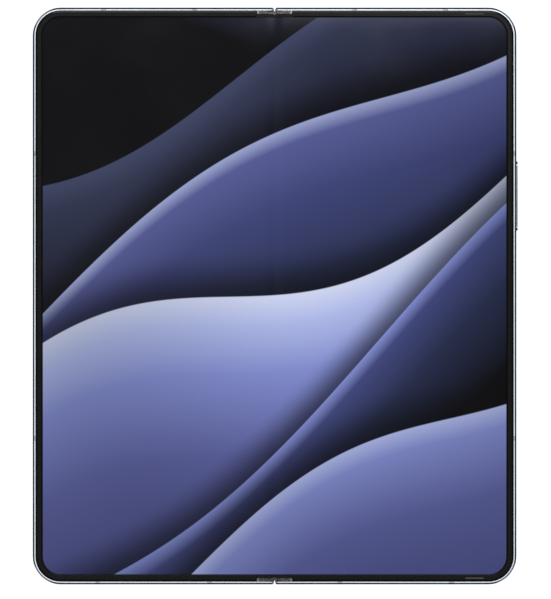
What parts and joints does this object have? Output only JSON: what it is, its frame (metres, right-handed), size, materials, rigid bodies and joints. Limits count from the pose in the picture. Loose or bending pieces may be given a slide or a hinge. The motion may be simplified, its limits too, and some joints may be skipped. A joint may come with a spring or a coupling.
{
  "type": "foldable smartphone",
  "caption": "Book-style folding phone, laid open on its back: two slim halves on a geared spine, one flexible display inside and a cover display outside.",
  "frame": {"origin": "on the surface that the open phone lies on, under the middle of its outline", "axes": "+Z out of the main display, +Y along the fold towards the top edge, +X towards the half with the keys"},
  "size_m": [0.1303, 0.1548, 0.008],
  "materials": {
    "frame_metal": "satin, bead-blasted and anodised pale blue",
    "antenna_band": "satin moulded band, tinted like the frame",
    "border": "fine matte black raised border",
    "main_display": null,
    "steel": "bright rolled sheet and turned parts",
    "rear_glass": "matte etched glass, pale blue behind",
    "camera_metal": "satin anodised",
    "lens_glass": "polished, dark coated",
    "black_plastic": "moulded",
    "flash": "milky window",
    "board": "solder-masked laminate",
    "cell": "foil pouch, black film",
    "copper": "bare copper",
    "bumper": "soft grey rubber",
    "magnet": "nickel plated",
    "cover_glass": "polished black",
    "cover_panel": "display panel, off",
    "spine_metal": "satin anodised spine",
    "hinge_steel": "sintered hinge steel",
    "gear_steel": "machined, lightly greased",
    "flex": "amber film with copper tracks",
    "seal_film": "thin flexible black film"
  },
  "bodies": {
    "right_half": {"right_frame": "frame_metal", "right_bezel": "border", "right_antenna_bands": "antenna_band", "main_display_right": "main_display", "display_backplate_right": "steel", "rear_glass": "rear_glass", "camera_island": "camera_metal", "camera_lens_rings": "camera_metal", "camera_lens_glasses": "lens_glass", "camera_modules": "black_plastic", "flash_lens": "flash", "right_circuit_boards": "board", "board_shields": "steel", "right_battery": "cell", "charging_coil": "copper", "usb_port": "steel", "bottom_speaker": "black_plastic", "vibration_motor": "steel", "key_switches": "copper", "inner_camera": "black_plastic", "closing_bumpers": "bumper", "right_magnets": "magnet", "right_rotators": "hinge_steel", "right_screws": "steel", "hinge_flex_right": "flex", "display_fold_right": "main_display", "fold_seals_right": "seal_film"},
    "spine": {"spine_cover": "spine_metal", "spine_end_caps": "spine_metal", "hinge_brackets": "hinge_steel", "centre_plate": "steel", "torque_springs": "steel", "hinge_screws": "steel"},
    "left_half": {"cover_glass": "cover_glass", "cover_display": "cover_panel", "cover_camera": "black_plastic", "left_battery": "cell", "left_circuit_board": "board", "top_speaker": "black_plastic", "sim_socket": "steel", "left_frame": "frame_metal", "left_bezel": "border", "left_antenna_bands": "antenna_band", "main_display_left": "main_display", "display_backplate_left": "steel", "left_magnets": "magnet", "left_rotators": "hinge_steel", "left_screws": "steel", "hinge_flex_left": "flex", "display_fold_left": "main_display", "fold_seals_left": "seal_film"},
    "right_arms": {"right_gear_arms": "gear_steel"},
    "left_arms": {"left_gear_arms": "gear_steel"},
    "right_idlers": {"right_idlers": "gear_steel"},
    "left_idlers": {"left_idlers": "gear_steel"},
    "volume_key_body": {"volume_key": "frame_metal"},
    "side_key_body": {"side_key": "frame_metal"},
    "sim_tray_body": {"sim_tray": "frame_metal"},
    "right_wings": {"right_wings": "steel"},
    "left_wings": {"left_wings": "steel"}
  },
  "joints": [
    {"name": "right_fold", "type": "hinge", "parent": "right_half", "child": "spine", "pos_m": [0.00187, 0, 0.00613], "axis": [0, 1, 0], "range_deg": [0, 90], "deforming": ["display_fold_right", "fold_seals_right", "hinge_flex_right"]},
    {"name": "left_fold", "type": "hinge", "parent": "spine", "child": "left_half", "pos_m": [-0.00187, 0, 0.00613], "axis": [0, 1, 0], "range_deg": [0, 90], "deforming": ["display_fold_left", "fold_seals_left", "hinge_flex_left"]},
    {"name": "right_arm_turn", "type": "hinge", "parent": "spine", "child": "right_arms", "pos_m": [0.00337, 0, 0.00462], "axis": [0, 1, 0], "range_deg": [-90, 0]},
    {"name": "left_arm_turn", "type": "hinge", "parent": "spine", "child": "left_arms", "pos_m": [-0.00337, 0, 0.00462], "axis": [0, 1, 0], "range_deg": [0, 90]},
    {"name": "right_idler_turn", "type": "hinge", "parent": "spine", "child": "right_idlers", "pos_m": [0.00112, 0, 0.00462], "axis": [0, 1, 0], "range_deg": [0, 90]},
    {"name": "left_idler_turn", "type": "hinge", "parent": "spine", "child": "left_idlers", "pos_m": [-0.00112, 0, 0.00462], "axis": [0, 1, 0], "range_deg": [-90, 0]},
    {"name": "right_wing_tilt", "type": "hinge", "parent": "right_half", "child": "right_wings", "pos_m": [0.00495, 0, 0.0063], "axis": [0, 1, 0], "range_deg": [-20, 0]},
    {"name": "left_wing_tilt", "type": "hinge", "parent": "left_half", "child": "left_wings", "pos_m": [-0.00495, 0, 0.0063], "axis": [0, 1, 0], "range_deg": [0, 20]},
    {"name": "volume_rock", "type": "hinge", "parent": "right_half", "child": "volume_key_body", "pos_m": [0.06325, 0.0269, 0.0043], "axis": [0, 0, 1], "range_deg": [-1.2, 1.2], "stiffness_Nm_per_rad": 0.4},
    {"name": "side_press", "type": "slide", "parent": "right_half", "child": "side_key_body", "axis": [-1, 0, 0], "range_m": [0, 0.00025], "stiffness_N_per_m": 1500, "springref_m": -0.0003},
    {"name": "tray_slide", "type": "slide", "parent": "left_half", "child": "sim_tray_body", "axis": [-1, 0, 0], "range_m": [0, 0.022]}
  ],
  "couplings": [
    {"joint": "left_fold", "follows": "right_fold", "ratio": 1},
    {"joint": "right_arm_turn", "follows": "right_fold", "ratio": -1},
    {"joint": "left_arm_turn", "follows": "right_fold", "ratio": 1},
    {"joint": "right_idler_turn", "follows": "right_fold", "ratio": 1},
    {"joint": "left_idler_turn", "follows": "right_fold", "ratio": -1},
    {"joint": "right_wing_tilt", "follows": "right_fold", "ratio": -0.22222},
    {"joint": "left_wing_tilt", "follows": "right_fold", "ratio": 0.22222}
  ]
}
